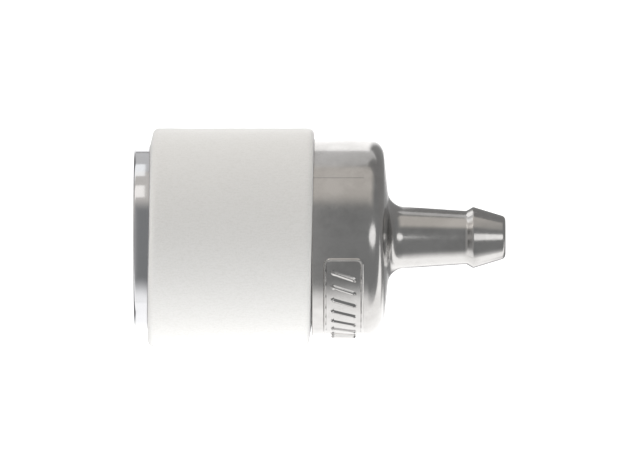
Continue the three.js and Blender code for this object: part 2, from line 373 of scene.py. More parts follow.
class FUELFILTER_PG_settings(bpy.types.PropertyGroup):
    """All the sizes and colours of the filter and its stage."""

    head: bpy.props.PointerProperty(type=FUELFILTER_PG_head)
    panel: bpy.props.PointerProperty(type=FUELFILTER_PG_panel)
    sleeve: bpy.props.PointerProperty(type=FUELFILTER_PG_sleeve)
    cap: bpy.props.PointerProperty(type=FUELFILTER_PG_cap)
    seals: bpy.props.PointerProperty(type=FUELFILTER_PG_seals)
    core: bpy.props.PointerProperty(type=FUELFILTER_PG_core)
    stage: bpy.props.PointerProperty(type=FUELFILTER_PG_stage)


# Shapes.


def spin_round(bm, steps):
    """Spins the shape's points and lines once round Z."""
    bmesh.ops.spin(
        bm,
        geom=bm.verts[:] + bm.edges[:],
        cent=(0, 0, 0),
        axis=(0, 0, 1),
        angle=2 * math.pi,
        steps=steps,
        use_merge=True,
    )


def turned(corners, steps=TURN_STEPS):
    """A solid of revolution about Z. Each corner of its profile is (radius, height, rounding).

    A profile with ends on the axis has no line along it.
    """
    bm = bmesh.new()
    points = [bm.verts.new((radius, 0, height)) for radius, height, rounding in corners]
    for start, end in zip(points, points[1:] + points[:1]):
        if start.co.x or end.co.x:
            bm.edges.new((start, end))
    for point, (radius, height, rounding) in zip(points, corners):
        if rounding:
            bmesh.ops.bevel(
                bm,
                geom=[point],
                offset=rounding,
                offset_type="OFFSET",
                segments=ROUNDING_STEPS,
                profile=0.5,
                affect="VERTICES",
                material=-1,
            )
    spin_round(bm, steps)
    bmesh.ops.remove_doubles(bm, verts=bm.verts, dist=MERGE_DISTANCE)
    bmesh.ops.recalc_face_normals(bm, faces=bm.faces)
    return bm


def ring(inner, outer, bottom, top, rounding, steps=TURN_STEPS):
    """A ring of rectangular section with rounded corners."""
    corners = ((inner, bottom), (outer, bottom), (outer, top), (inner, top))
    return turned([(*corner, rounding) for corner in corners], steps)


def piece_from(context, name, bm, material, slot, *nodes):
    """Lays the shape down and makes it an object that rides on the body for its CAD nodes."""
    bmesh.ops.transform(bm, matrix=LAID_DOWN, verts=bm.verts)
    mesh = bpy.data.meshes.new(name)
    bm.to_mesh(mesh)
    bm.free()
    mesh.shade_smooth()
    mesh.set_sharp_from_angle(angle=SHARP_ANGLE)
    mesh.materials.append(material)
    piece = bpy.data.objects.new(name, mesh)
    context.scene.collection.objects.link(piece)
    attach(piece, BODY)
    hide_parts(*nodes)
    return piece


# Materials.


def add_node(tree, kind, inputs=None, **attributes):
    """A new shader node with its attributes and its input values or links set."""
    node = tree.nodes.new(kind)
    for name, value in attributes.items():
        setattr(node, name, value)
    for name, value in (inputs or {}).items():
        socket = node.inputs[name]
        if isinstance(value, bpy.types.NodeSocket):
            tree.links.new(value, socket)
        else:
            socket.default_value = value
    return node


def new_material(name):
    """A material with its tree, its Principled shader and the Object coordinates."""
    material = bpy.data.materials.new(name)
    material.use_nodes = True
    tree = material.node_tree
    coordinates = tree.nodes.new("ShaderNodeTexCoord").outputs["Object"]
    return material, tree, tree.nodes["Principled BSDF"], coordinates


def calculated(tree, operation, first, second=0.0):
    """The result of a Math node on one or two values."""
    return add_node(tree, "ShaderNodeMath", {0: first, 1: second}, operation=operation).outputs[0]


def noise_at(tree, coordinates, scale, detail=3.0, roughness=0.55):
    """Fractal noise on the coordinates, as a value round 0.5."""
    inputs = {"Vector": coordinates, "Scale": scale, "Detail": detail, "Roughness": roughness}
    return add_node(tree, "ShaderNodeTexNoise", inputs).outputs["Fac"]


def between(tree, value, low, high, to_low, to_high):
    """The value's stretch from low to high, spread from to_low to to_high."""
    inputs = {"Value": value, "From Min": low, "From Max": high, "To Min": to_low, "To Max": to_high}
    return add_node(tree, "ShaderNodeMapRange", inputs).outputs["Result"]


def grey(level):
    """A grey of that level."""
    return (level,) * 3


def with_alpha(colour_or_link):
    """A colour as a socket takes it. A link stays as it is."""
    return colour_or_link if isinstance(colour_or_link, bpy.types.NodeSocket) else (*colour_or_link, 1)


def blended(tree, factor, first, second, way="MIX"):
    """A colour between the first and the second. The numbers are the Mix node's colour sockets."""
    inputs = {0: factor, 6: with_alpha(first), 7: with_alpha(second)}
    return add_node(tree, "ShaderNodeMix", inputs, data_type="RGBA", blend_type=way).outputs[2]


def ramped(tree, value, interpolation, stops):
    """A colour ramp over the value. Each stop is a place from 0 to 1 and a colour."""
    node = add_node(tree, "ShaderNodeValToRGB", {"Fac": value})
    node.color_ramp.interpolation = interpolation
    points = node.color_ramp.elements
    while len(points) < len(stops):
        points.new(1.0)
    for point, (place, light) in zip(points, stops):
        point.position = place
        point.color = (*light, 1)
    return node.outputs["Color"]


def bumped(tree, height, depth, strength=1.0, normal=None):
    """A normal bumped by the height, whose full range is depth in metres."""
    inputs = {"Height": height, "Distance": depth, "Strength": strength}
    if normal:
        inputs["Normal"] = normal
    return add_node(tree, "ShaderNodeBump", inputs).outputs["Normal"]


def stretched(tree, coordinates, scale):
    """The coordinates scaled along each axis."""
    inputs = {"Vector": coordinates, "Scale": scale}
    return add_node(tree, "ShaderNodeMapping", inputs).outputs["Vector"]


def plated_casting(head):
    """Satin plating over a die casting: soft waves, a fine orange peel and duller patches."""
    material, tree, shader, coordinates = new_material("plated_casting")
    patches = noise_at(tree, coordinates, scale=420, detail=4.0)
    tint = blended(tree, between(tree, patches, 0.42, 0.62, 0, 1), head.plating, head.shade)
    tree.links.new(tint, shader.inputs["Base Color"])
    shader.inputs["Metallic"].default_value = 1.0
    grain = noise_at(tree, coordinates, scale=3800, detail=2.0)
    rough = between(tree, grain, 0.3, 0.7, head.roughness - 0.02, head.roughness + 0.05)
    tree.links.new(rough, shader.inputs["Roughness"])
    waves = bumped(tree, noise_at(tree, coordinates, scale=380, detail=1.0), depth=4e-6)
    peel = bumped(tree, grain, depth=0.5e-6, normal=waves)
    tree.links.new(peel, shader.inputs["Normal"])
    return material


def polished_plating(name, tint, roughness):
    """Bright plating on a turned piece, with faint rings about the axis, dull clouds and scuffs."""
    material, tree, shader, coordinates = new_material(name)
    to_axis = {"Vector": coordinates, "Location": (0, 0, -AXIS_Z)}
    centred = add_node(tree, "ShaderNodeMapping", to_axis).outputs["Vector"]
    rings = add_node(
        tree,
        "ShaderNodeTexWave",
        {"Vector": centred, "Scale": 900.0, "Distortion": 0.6, "Detail": 2.0, "Detail Scale": 3.0},
        wave_type="RINGS",
        rings_direction="X",
    ).outputs["Fac"]
    cloud = noise_at(tree, coordinates, scale=240, detail=5.0, roughness=0.6)
    dull = tuple(0.93 * channel for channel in tint)
    clouded = blended(tree, between(tree, cloud, 0.35, 0.7, 0, 1), tint, dull)
    tree.links.new(clouded, shader.inputs["Base Color"])
    shader.inputs["Metallic"].default_value = 1.0
    rough = between(tree, rings, 0, 1, roughness, roughness + 0.05)
    tree.links.new(rough, shader.inputs["Roughness"])
    scratches = noise_at(tree, stretched(tree, coordinates, (1, 1, 9)), scale=500, detail=4.0)
    scuffed = bumped(tree, scratches, depth=0.7e-6, strength=0.6)
    grooved = bumped(tree, rings, depth=1.6e-6, strength=0.7, normal=scuffed)
    tree.links.new(grooved, shader.inputs["Normal"])
    return material


def porous_fibre(sleeve):
    """Bonded white fibre: a matt ground with fine pores and short crossing fibres."""
    material, tree, shader, coordinates = new_material("porous_fibre")
    cloud = noise_at(tree, coordinates, scale=260)
    grain = noise_at(tree, coordinates, scale=7000, roughness=0.7)
    along = stretched(tree, coordinates, (1, 3, 3))
    fibres = noise_at(tree, along, scale=2600, detail=4.0, roughness=0.65)
    pores = calculated(tree, "MULTIPLY", grain, fibres)
    tint = blended(tree, between(tree, pores, 0.12, 0.3, 0, 1), sleeve.shade, sleeve.tint)
    tree.links.new(tint, shader.inputs["Base Color"])
    shader.inputs["Roughness"].default_value = 0.95
    shader.inputs["Specular IOR Level"].default_value = 0.2
    shader.inputs["Sheen Weight"].default_value = 1.0
    shader.inputs["Sheen Roughness"].default_value = 0.3
    soft = bumped(tree, cloud, depth=2e-5, strength=0.5)
    pitted = bumped(tree, pores, depth=3e-5, strength=0.5, normal=soft)
    tree.links.new(pitted, shader.inputs["Normal"])
    return material


def moulded_plastic(name, tint, roughness):
    """Moulded plastic with a slight sheen and a faint mottle."""
    material, tree, shader, coordinates = new_material(name)
    mottle = noise_at(tree, coordinates, scale=900)
    dull = tuple(0.9 * channel for channel in tint)
    mottled = blended(tree, between(tree, mottle, 0.35, 0.65, 0, 1), tint, dull)
    tree.links.new(mottled, shader.inputs["Base Color"])
    rough = between(tree, mottle, 0.3, 0.7, roughness, roughness + 0.12)
    tree.links.new(rough, shader.inputs["Roughness"])
    grained = bumped(tree, noise_at(tree, coordinates, scale=5000), depth=2e-6, strength=0.5)
    tree.links.new(grained, shader.inputs["Normal"])
    return material


# Pieces.


def wrap_on_head(bm, head, panel):
    """Bends a flat shape, drawn round the head and up it, onto the head's side."""
    radius = mm(head.radius)
    middle = HEAD_RIM + mm(panel.rise) + mm(panel.height) / 2
    for vert in bm.verts:
        turn = panel.centre + vert.co.x / radius
        reach = radius + vert.co.z
        vert.co = (reach * math.cos(turn), reach * math.sin(turn), middle + vert.co.y)


def flat_plate(width, height, corner, steps=0):
    """A flat face with rounded corners. With steps, its long sides are cut so that it can bend."""
    bm = bmesh.new()
    bmesh.ops.create_grid(bm, x_segments=1, y_segments=1, size=0.5)
    bmesh.ops.scale(bm, vec=(width, height, 1), verts=bm.verts)
    bmesh.ops.bevel(
        bm,
        geom=bm.verts[:],
        offset=corner,
        offset_type="OFFSET",
        segments=PLATE_CORNER_STEPS,
        profile=0.5,
        affect="VERTICES",
        material=-1,
    )
    if steps:
        long_sides = [side for side in bm.edges if side.calc_length() > width / 2]
        bmesh.ops.subdivide_edges(bm, edges=long_sides, cuts=steps)
    return bm


def raise_relief(bm, faces, relief, flank):
    """Raises flat faces from under the surface, with sloping flanks and a rounded top edge."""
    raised = bmesh.ops.extrude_face_region(bm, geom=faces)["geom"]
    tops = [item for item in raised if isinstance(item, bmesh.types.BMFace)]
    corners = {corner for top in tops for corner in top.verts}
    bmesh.ops.translate(bm, vec=(0, 0, RELIEF_ROOT), verts=list(corners))
    bmesh.ops.inset_region(bm, faces=tops, thickness=flank, depth=relief, use_even_offset=True)
    crown = [side for side in bm.edges if sum(face in tops for face in side.link_faces) == 1]
    bmesh.ops.bevel(
        bm,
        geom=crown,
        offset=CROWN_SHARE * flank,
        offset_type="OFFSET",
        segments=CROWN_STEPS,
        profile=0.5,
        affect="EDGES",
        material=-1,
    )
    bmesh.ops.translate(bm, vec=(0, 0, -RELIEF_ROOT), verts=bm.verts)
    bmesh.ops.recalc_face_normals(bm, faces=bm.faces)


def add_shape(bm, other):
    """Puts the other shape into the first, as another shell of the same casting."""
    carrier = bpy.data.meshes.new("carrier")
    other.to_mesh(carrier)
    other.free()
    bm.from_mesh(carrier)
    bpy.data.meshes.remove(carrier)


def panel_frame(head, panel):
    """The panel's empty rounded frame."""
    width = mm(head.radius) * panel.sweep
    bm = flat_plate(width, mm(panel.height), mm(panel.corner), PANEL_STEPS)
    middle = bm.faces[:]
    line = bmesh.ops.inset_region(
        bm, faces=middle, thickness=mm(panel.line), use_boundary=True, use_even_offset=True
    )["faces"]
    bmesh.ops.delete(bm, geom=middle, context="FACES")
    raise_relief(bm, line, mm(panel.relief), mm(panel.flank))
    wrap_on_head(bm, head, panel)
    return bm


def panel_rib(head, panel, place):
    """One plain slanted rib, its middle at that place round the head in millimetres."""
    width = mm(panel.rib_width)
    height = mm(panel.rib_height)
    bm = flat_plate(width, height, RIB_CORNER_SHARE * width)
    for vert in bm.verts:
        vert.co.x += place + mm(panel.rib_slant) * vert.co.y / (height / 2)
    raise_relief(bm, bm.faces[:], mm(panel.relief), mm(panel.rib_flank))
    wrap_on_head(bm, head, panel)
    return bm


def parting_line(head, panel):
    """The low step that the die left along the head's side: steep on one side, fading on the other."""
    away = mm(head.radius) * (head.seam - panel.centre)
    width = mm(head.seam_width)
    bm = flat_plate(width, mm(head.seam_length), SEAM_CORNER_SHARE * width)
    raise_relief(bm, bm.faces[:], mm(head.seam_relief), SEAM_FLANK_SHARE * width)
    for vert in bm.verts:
        if vert.co.z > 0:
            vert.co.z *= 0.5 + vert.co.x / width
    rise = (mm(head.seam_length) - mm(panel.height)) / 2 - mm(panel.rise)
    bmesh.ops.translate(bm, vec=(away, rise, 0), verts=bm.verts)
    wrap_on_head(bm, head, panel)
    return bm


def head_casting(head, seals):
    """The head's bell, dome, stem and barb, with its bore, neck socket, cavity and seal groove."""
    bell = mm(head.radius)
    rise = math.tan(head.dome_slope)
    shoulder = mm(head.shoulder_radius) * math.tan((math.pi / 2 - head.dome_slope) / 2)
    dome_edge = HEAD_RIM + mm(head.shoulder_height) + shoulder
    root = mm(head.stem_root)
    crest = BARB_TIP - mm(head.cone_length)
    bore = mm(head.bore_radius)
    socket = mm(seals.o_ring_outer) + GROOVE_GAP
    groove_inner = mm(seals.inner) - 2 * CLEARANCE
    groove_outer = mm(seals.outer) + 2 * CLEARANCE
    return turned(
        [
            (bell, HEAD_RIM, EDGE),
            (bell, dome_edge, shoulder),
            (root, dome_edge + (bell - root) * rise, mm(head.stem_flare)),
            (mm(head.stem_end), crest - mm(head.ramp_length), EASED_EDGE),
            (mm(head.crest_radius), crest, THIN_EDGE),
            (mm(head.tip_radius), BARB_TIP, TIP_ROUNDING),
            (bore, BARB_TIP, EDGE),
            (bore, NECK_TOP + NECK_ROOM, EDGE),
            (socket, NECK_TOP + NECK_ROOM, EDGE),
            (socket, HEAD_RIM + CAVITY_DEPTH, BROAD_EDGE),
            (CAVITY_RADIUS, HEAD_RIM + CAVITY_DEPTH, CAVITY_ROUNDING),
            (CAVITY_RADIUS, HEAD_RIM, BROAD_EDGE),
            (groove_inner, HEAD_RIM, 0),
            (groove_inner, HEAD_SEAL_TOP, 0),
            (groove_outer, HEAD_SEAL_TOP, 0),
            (groove_outer, HEAD_RIM, 0),
        ]
    )


def sleeve_shape(sleeve, seals, head, cap):
    """The sleeve: a thick tube with rounded edges, low waves and ends a little off square.

    The waves only cut inwards. The parts that touch the cap, the head and the seals stay flat.
    """
    outer = mm(CAD_HIGH.y - CAD_LOW.y) / 2
    bore = mm(sleeve.bore)
    edge = mm(sleeve.edge)
    crown = outer - edge
    seal = mm(seals.outer) + CLEARANCE
    under_cap = mm(cap.radius) + CLEARANCE
    under_head = mm(head.radius) + CLEARANCE
    bm = turned(
        [
            (bore, SLEEVE_BOTTOM, EDGE),
            (under_cap, SLEEVE_BOTTOM, 0),
            (outer, SLEEVE_BOTTOM, edge),
            (outer, SLEEVE_TOP, edge),
            (under_head, SLEEVE_TOP, 0),
            (seal, SLEEVE_TOP, 0),
            (bore, SLEEVE_TOP, EDGE),
        ],
        SLEEVE_STEPS,
    )
    long_sides = [side for side in bm.edges if side.calc_length() > outer]
    wall = [side for side in long_sides if side.verts[0].co.xy.length > crown]
    bmesh.ops.subdivide_edges(bm, edges=wall, cuts=SLEEVE_ROWS)
    middle = (SLEEVE_BOTTOM + SLEEVE_TOP) / 2
    for vert in bm.verts:
        radius = vert.co.xy.length
        shift = math.tan(sleeve.lean) * vert.co.y
        if vert.co.z < middle:
            held = under_cap
        else:
            # This end may fall away under the head's rim, but not rise into it.
            held = under_head if shift > 0 else seal
        free = max(0.0, min(1.0, (radius - held) / (crown - held)))
        wave = noise.noise(vert.co * LONG_WAVES) + SHORT_SHARE * noise.noise(vert.co * SHORT_WAVES)
        reach = 1 + free * mm(sleeve.swell) * (wave - 1) / radius
        vert.co.x *= reach
        vert.co.y *= reach
        vert.co.z += free * shift
    return bm


def end_cap_shape(cap, seals):
    """The end cap: a disc with a recess for the rivet, a groove for its seal and a centring spigot."""
    hole = mm(cap.rivet_shank) + CLEARANCE
    recess = mm(cap.recess)
    rim = mm(cap.radius)
    spigot = mm(cap.spigot)
    groove_inner = mm(seals.inner) - 2 * CLEARANCE
    groove_outer = mm(seals.outer) + 2 * CLEARANCE
    return turned(
        [
            (hole, CORE_BOTTOM, EDGE),
            (hole, WASHER_TOP, 0),
            (recess, WASHER_TOP, EDGE),
            (recess, 0, EASED_EDGE),
            (rim, 0, mm(cap.edge)),
            (rim, SLEEVE_BOTTOM, FINE_EDGE),
            (groove_outer, SLEEVE_BOTTOM, 0),
            (groove_outer, CAP_SEAL_BOTTOM, 0),
            (groove_inner, CAP_SEAL_BOTTOM, 0),
            (groove_inner, SLEEVE_BOTTOM, 0),
            (spigot, SLEEVE_BOTTOM, 0),
            (spigot, CORE_BOTTOM, SOFT_EDGE),
        ]
    )


def rivet_shape(cap):
    """The rivet: a head with a rounded crown and a shank with a rounded end."""
    head = mm(cap.rivet_head)
    shank = mm(cap.rivet_shank)
    return turned(
        [
            (0, RIVET_BOTTOM, 0),
            (head, RIVET_BOTTOM, RIVET_CROWN),
            (head, WASHER_BOTTOM, RIVET_RIM),
            (shank, WASHER_BOTTOM, 0),
            (shank, RIVET_TOP, SOFT_EDGE),
            (0, RIVET_TOP, 0),
        ],
        SMALL_TURN_STEPS,
    )


def o_ring_shape(seals):
    """The O-ring: a round section spun about the axis."""
    inner = mm(seals.o_ring_inner)
    thickness = mm(seals.o_ring_outer) - inner
    bm = bmesh.new()
    bmesh.ops.create_circle(bm, segments=O_RING_STEPS, radius=thickness / 2)
    upright = Matrix.Rotation(math.pi / 2, 3, "X")
    bmesh.ops.rotate(bm, cent=(0, 0, 0), matrix=upright, verts=bm.verts)
    middle = (O_RING_BOTTOM + O_RING_TOP) / 2
    bmesh.ops.translate(bm, vec=(inner + thickness / 2, 0, middle), verts=bm.verts)
    spin_round(bm, SMALL_TURN_STEPS)
    bmesh.ops.recalc_face_normals(bm, faces=bm.faces)
    return bm


def core_shape(core, seals, cap):
    """The core: two flanges, a cage with windows, a boss for the rivet and a neck with its groove."""
    hole = mm(cap.rivet_shank) + CLEARANCE
    hole_top = RIVET_TOP + CLEARANCE
    flange = mm(core.flange_radius)
    outer, wall = mm(core.radius), mm(core.wall)
    inner = outer - wall
    neck, lead = mm(core.neck_radius), mm(core.neck_lead)
    groove = mm(seals.o_ring_inner) - GROOVE_GAP
    groove_bottom = (O_RING_BOTTOM + O_RING_TOP - mm(core.groove_height)) / 2
    groove_top = groove_bottom + mm(core.groove_height)
    post = mm(core.post)
    window = (SCREEN_TOP - SCREEN_BOTTOM - post * (core.rows + 1)) / core.rows
    ledges = []
    for row in range(core.rows):
        sill = SCREEN_BOTTOM + post + row * (window + post)
        ledges += (sill, sill + window)
    bm = turned(
        [
            (0, hole_top, 0),
            (hole, hole_top, EDGE),
            (hole, CORE_BOTTOM, 0),
            (flange, CORE_BOTTOM, THIN_EDGE),
            (flange, SCREEN_BOTTOM, THIN_EDGE),
            (outer, SCREEN_BOTTOM, 0),
            *((outer, height, 0) for height in ledges),
            (outer, SCREEN_TOP, 0),
            (flange, SCREEN_TOP, THIN_EDGE),
            (flange, HEAD_RIM, THIN_EDGE),
            (neck, HEAD_RIM, EDGE),
            (neck, groove_bottom, FINE_EDGE),
            (groove, groove_bottom, 0),
            (groove, groove_top, 0),
            (neck, groove_top, FINE_EDGE),
            (neck, NECK_TOP - lead, EDGE),
            (neck - lead, NECK_TOP, EDGE),
            (mm(core.neck_bore), NECK_TOP, EDGE),
            (mm(core.neck_bore), SCREEN_TOP, EDGE),
            (inner, SCREEN_TOP, 0),
            *((inner, height, 0) for height in reversed(ledges)),
            (inner, SCREEN_BOTTOM, 0),
            (mm(core.boss_radius), SCREEN_BOTTOM, SOFT_EDGE),
            (mm(core.boss_radius), hole_top + wall, BROAD_EDGE),
            (0, hole_top + wall, 0),
        ],
        CORE_STEPS,
    )
    half_width = math.asin(mm(core.window_width) / 2 / outer)
    for low, high in zip(ledges[::2], ledges[1::2]):
        for column in range(core.columns):
            facing = Matrix.Rotation(-2 * math.pi * (column + 0.5) / core.columns, 3, "Z")
            pane = set()
            for face in bm.faces:
                centre = facing @ face.calc_center_median()
                aside = abs(math.atan2(centre.y, centre.x))
                on_wall = centre.xy.length > WALL_SHARE * inner
                if on_wall and low < centre.z < high and aside < half_width:
                    pane.add(face)
            rim = [side for side in bm.edges if sum(face in pane for face in side.link_faces) == 1]
            bmesh.ops.delete(bm, geom=list(pane), context="FACES_KEEP_BOUNDARY")
            bmesh.ops.bridge_loops(bm, edges=rim)
    bmesh.ops.recalc_face_normals(bm, faces=bm.faces)
    return bm


def screen_shape(core):
    """The screen: a fine square weave round the cage."""
    bm = bmesh.new()
    radius = mm(core.radius) + mm(core.screen_gap) + mm(core.wire)
    ends = (SCREEN_BOTTOM + mm(core.wire) / 2, SCREEN_TOP - mm(core.wire) / 2)
    line = bm.edges.new([bm.verts.new((radius, 0, height)) for height in ends])
    bmesh.ops.subdivide_edges(bm, edges=[line], cuts=SCREEN_ROWS - 1)
    spin_round(bm, SCREEN_STEPS)
    bmesh.ops.recalc_face_normals(bm, faces=bm.faces)
    bmesh.ops.wireframe(
        bm,
        faces=bm.faces[:],
        thickness=mm(core.wire),
        use_replace=True,
        use_boundary=True,
        use_even_offset=True,
    )
    bmesh.ops.recalc_face_normals(bm, faces=bm.faces)
    return bm


# Operators, one for each piece or group of like pieces.


class FUELFILTER_OT_outlet_head(bpy.types.Operator):
    """Build the cast outlet head with its barb, panel and parting line."""

    bl_idname = "fuel_filter.outlet_head"
    bl_label = "Outlet Head"

    def execute(self, context):
        settings = context.scene.fuel_filter
        head, panel = settings.head, settings.panel
        bm = head_casting(head, settings.seals)
        add_shape(bm, panel_frame(head, panel))
        room = mm(head.radius) * panel.sweep - 2 * mm(panel.line)
        for number in range(panel.ribs):
            place = room * ((number + 1) / (panel.ribs + 1) - 0.5)
            add_shape(bm, panel_rib(head, panel, place))
        add_shape(bm, parting_line(head, panel))
        piece_from(context, "head_casting", bm, plated_casting(head), "plated_casting", "outlet_head")
        return {"FINISHED"}


class FUELFILTER_OT_sleeve(bpy.types.Operator):
    """Build the porous sleeve."""

    bl_idname = "fuel_filter.sleeve"
    bl_label = "Porous Sleeve"

    def execute(self, context):
        settings = context.scene.fuel_filter
        sleeve = settings.sleeve
        bm = sleeve_shape(sleeve, settings.seals, settings.head, settings.cap)
        piece_from(context, "porous_sleeve", bm, porous_fibre(sleeve), "porous_sleeve", "filter_sleeve")
        return {"FINISHED"}


class FUELFILTER_OT_end_cap(bpy.types.Operator):
    """Build the end cap."""

    bl_idname = "fuel_filter.end_cap"
    bl_label = "End Cap"

    def execute(self, context):
        settings = context.scene.fuel_filter
        bm = end_cap_shape(settings.cap, settings.seals)
        material = polished_plating("polished_cap", tuple(settings.cap.polish), roughness=0.1)
        piece_from(context, "cap_disc", bm, material, "polished_steel", "end_cap")
        return {"FINISHED"}


class FUELFILTER_OT_rivet(bpy.types.Operator):
    """Build the rivet that holds the cap, and its washer."""

    bl_idname = "fuel_filter.rivet"
    bl_label = "Rivet and Washer"

    def execute(self, context):
        cap = context.scene.fuel_filter.cap
        material = polished_plating("bright_zinc", tint=(0.5, 0.5, 0.49), roughness=0.2)
        piece_from(context, "drive_rivet", rivet_shape(cap), material, "fastener_steel", "cap_rivet")
        hole = mm(cap.rivet_shank) + CLEARANCE
        outer = mm(cap.washer)
        washer = ring(hole, outer, WASHER_BOTTOM, WASHER_TOP, WASHER_EDGE, SMALL_TURN_STEPS)
        piece_from(context, "flat_washer", washer, material, "fastener_steel", "rivet_washer")
        return {"FINISHED"}


class FUELFILTER_OT_seals(bpy.types.Operator):
    """Build the two flat rings and the O-ring."""

    bl_idname = "fuel_filter.seals"
    bl_label = "Seals"

    def execute(self, context):
        seals = context.scene.fuel_filter.seals
        rubber = moulded_plastic("nitrile", tint=(0.03, 0.03, 0.032), roughness=0.55)
        inner, outer = mm(seals.inner), mm(seals.outer)
        head_ring = ring(inner, outer, HEAD_SEAL_BOTTOM, HEAD_SEAL_TOP, EDGE)
        piece_from(context, "head_gasket", head_ring, rubber, "nitrile", "head_seal_ring")
        cap_ring = ring(inner, outer, CAP_SEAL_BOTTOM, CAP_SEAL_TOP, EDGE)
        piece_from(context, "cap_gasket", cap_ring, rubber, "nitrile", "cap_seal_ring")
        piece_from(context, "neck_o_ring", o_ring_shape(seals), rubber, "nitrile", "core_o_ring")
        return {"FINISHED"}


class FUELFILTER_OT_core(bpy.types.Operator):
    """Build the core and its screen."""

    bl_idname = "fuel_filter.core"
    bl_label = "Core and Screen"

    def execute(self, context):
        settings = context.scene.fuel_filter
        core = settings.core
        cage = core_shape(core, settings.seals, settings.cap)
        acetal = moulded_plastic("acetal", tuple(core.acetal), roughness=0.35)
        piece_from(context, "core_cage", cage, acetal, "acetal", "support_core")
        nylon = moulded_plastic("nylon_mesh", tuple(core.nylon), roughness=0.5)
        piece_from(context, "woven_screen", screen_shape(core), nylon, "nylon_mesh", "inner_screen")
        return {"FINISHED"}


def softbox(context, name, aim, direction, distance, size, glow, tint=(1, 1, 1), shape="RECTANGLE"):
    """A soft lamp seen from the aimed place in that direction and distance, as bright as glow."""
    toward = Vector(direction).normalized()
    lamp = bpy.data.lights.new(name, "AREA")
    lamp.shape = shape
    lamp.size, lamp.size_y = size
    area = size[0] * size[1] * (math.pi / 4 if shape == "ELLIPSE" else 1)
    lamp.energy = glow * math.pi * area
    lamp.color = tint
    holder = bpy.data.objects.new(name, lamp)
    holder.location = Vector(aim) + toward * distance
    holder.rotation_euler = toward.to_track_quat("Z", "Y").to_euler()
    holder.visible_camera = False
    context.scene.collection.objects.link(holder)
    return holder


def rim_strip(context, name, degrees, width, glow, tint):
    """A strip lamp by the cap, whose rim mirrors it at that many degrees from the top."""
    radius = context.scene.fuel_filter.cap.radius
    turn = math.radians(degrees)
    place = (CAP_X - STRIP_SHIFT, radius * math.sin(turn), AXIS_Z + radius * math.cos(turn))
    way = (0, math.sin(2 * turn), math.cos(2 * turn))
    softbox(context, name, place, way, NEAR_LAMP, (STRIP_LENGTH, width), glow, tint)


def by_ray(tree, seen, felt):
    """The first shader for what the camera sees, the second for the light that meets the filter."""
    path = tree.nodes.new("ShaderNodeLightPath")
    inputs = {0: path.outputs["Is Camera Ray"], 1: felt, 2: seen}
    return add_node(tree, "ShaderNodeMixShader", inputs).outputs["Shader"]


def pale_floor(stage):
    """White paper to the camera. The light that it sends the filter is painted on it: a pool of light,
    a painted shadow band where the pool ends, painted shadows under the stem and past the barb's tip,
    and painted shade past the cap.
    """
    material, tree, shader, coordinates = new_material("pale_floor")
    shader.inputs["Base Color"].default_value = (*stage.floor_tint, 1)
    shader.inputs["Roughness"].default_value = 0.9
    shader.inputs["Emission Color"].default_value = (1, 1, 1, 1)
    shader.inputs["Emission Strength"].default_value = stage.floor_glow
    place = add_node(tree, "ShaderNodeSeparateXYZ", {"Vector": coordinates}).outputs
    # Beside the cap the painted pool of light ends nearer.
    nearer = between(tree, place["X"], *BESIDE_CAP_X, BESIDE_CAP_SHIFT, 0)
    away = calculated(tree, "ADD", place["Y"], nearer)
    # The painted shadows and shade take the room's dark level.
    dark = grey(stage.dark_glow)
    # Painted light on the floor: a pool of light by the filter, then a painted shadow band where it
    # ends, then the dimmer far floor.
    stops = ((0.0, grey(stage.pool_glow)), (0.12, dark), (0.3, grey(stage.far_glow)))
    painted_pool_and_shadow = ramped(tree, between(tree, away, *POOL_END_Y, 0, 1), "LINEAR", stops)
    # A painted shadow under the stem, from past the head towards the far side.
    past_head = between(tree, place["X"], *PAST_HEAD_X, 0, 1)
    stem_near = between(tree, place["Y"], *STEM_NEAR_Y, 0, 1)
    stem_far = between(tree, place["Y"], *STEM_FAR_Y, 1, 0)
    under_stem_band = calculated(tree, "MULTIPLY", stem_near, stem_far)
    stem_shadow = calculated(tree, "MULTIPLY", past_head, under_stem_band)
    # A painted shadow past the barb's tip.
    past_tip = between(tree, place["X"], *PAST_TIP_X, 0, 1)
    tip_near = between(tree, place["Y"], *TIP_NEAR_Y, 0, 1)
    tip_shadow = calculated(tree, "MULTIPLY", past_tip, tip_near)
    right = calculated(tree, "MAXIMUM", stem_shadow, tip_shadow)
    # Painted shade past the cap, near its sides.
    past_cap = between(tree, place["X"], *PAST_CAP_X, 1, 0)
    sideways = calculated(tree, "ABSOLUTE", place["Y"])
    left = calculated(tree, "MULTIPLY", past_cap, between(tree, sideways, *CAP_SIDES_Y, 1, 0))
    # The painted shadows under the barb and the painted shade past the cap go over the painted pool of
    # light.
    shown = blended(tree, calculated(tree, "MAXIMUM", left, right), painted_pool_and_shadow, dark)
    felt = add_node(tree, "ShaderNodeEmission", {"Color": shown, "Strength": 1.0})
    mixed = by_ray(tree, shader.outputs["BSDF"], felt.outputs["Emission"])
    tree.links.new(mixed, tree.nodes["Material Output"].inputs["Surface"])
    return material


